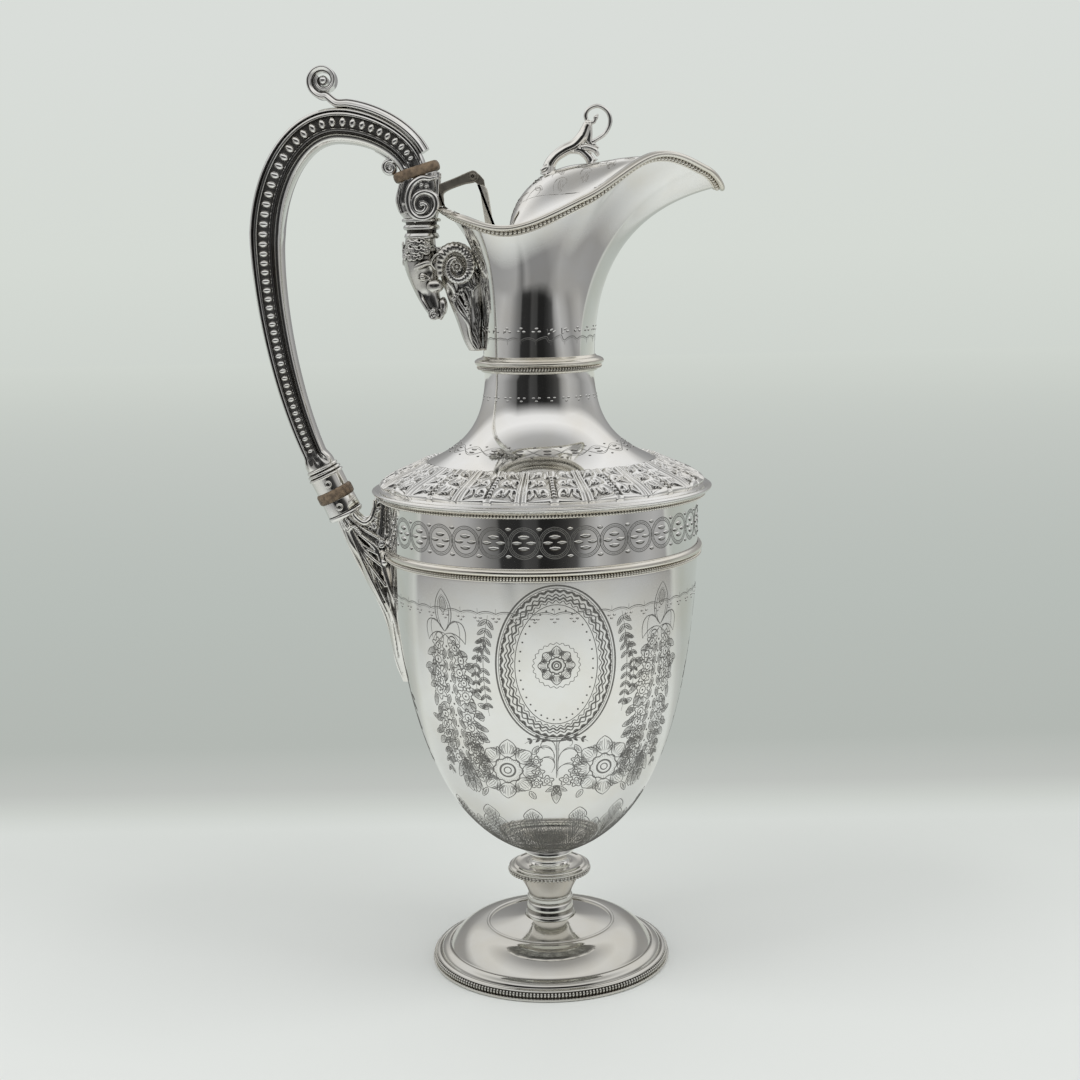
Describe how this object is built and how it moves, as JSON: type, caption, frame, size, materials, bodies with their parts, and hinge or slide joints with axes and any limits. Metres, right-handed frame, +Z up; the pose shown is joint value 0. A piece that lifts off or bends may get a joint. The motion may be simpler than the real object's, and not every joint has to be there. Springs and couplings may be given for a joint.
{
  "type": "claret jug",
  "caption": "Silver claret jug with a vase body on a domed foot, a helmet spout, a hinged domed lid and a high scrolled handle ending in a ram's mask.",
  "frame": {"origin": "centre of the foot's resting face", "axes": "+Z up along the jug's axis, +X towards the spout's tip, handle at -X"},
  "size_m": [0.174, 0.1272, 0.3394],
  "materials": {
    "silver": "silver plated, polished, engraved and chased",
    "fibre": "dark brown hard fibre"
  },
  "bodies": {
    "jug": {"foot": "silver", "foot_wire": "silver", "stem": "silver", "knop": "silver", "stem_collar": "silver", "bowl": "silver", "girdle_wire": "silver", "upper_band": "silver", "shoulder_wire": "silver", "shoulder": "silver", "neck_base": "silver", "neck_collar": "silver", "spout": "silver", "rim_wire": "silver", "hinge_bracket": "silver", "hinge_pin": "silver", "handle": "silver", "handle_strap": "silver", "handle_curl": "silver", "upper_insulator": "fibre", "upper_pins": "silver", "capital": "silver", "capital_neck": "silver", "ram_head": "silver", "upper_ferrule": "silver", "lower_insulator": "fibre", "lower_ferrule": "silver", "lower_pins": "silver", "leaf_bracket": "silver"},
    "lid": {"lid": "silver", "lid_arm": "silver", "finial": "silver"}
  },
  "joints": [
    {"name": "lid_hinge", "type": "hinge", "parent": "jug", "child": "lid", "pos_m": [-0.0228, 0, 0.2991], "axis": [0, -1, 0], "range_deg": [0, 95]}
  ]
}
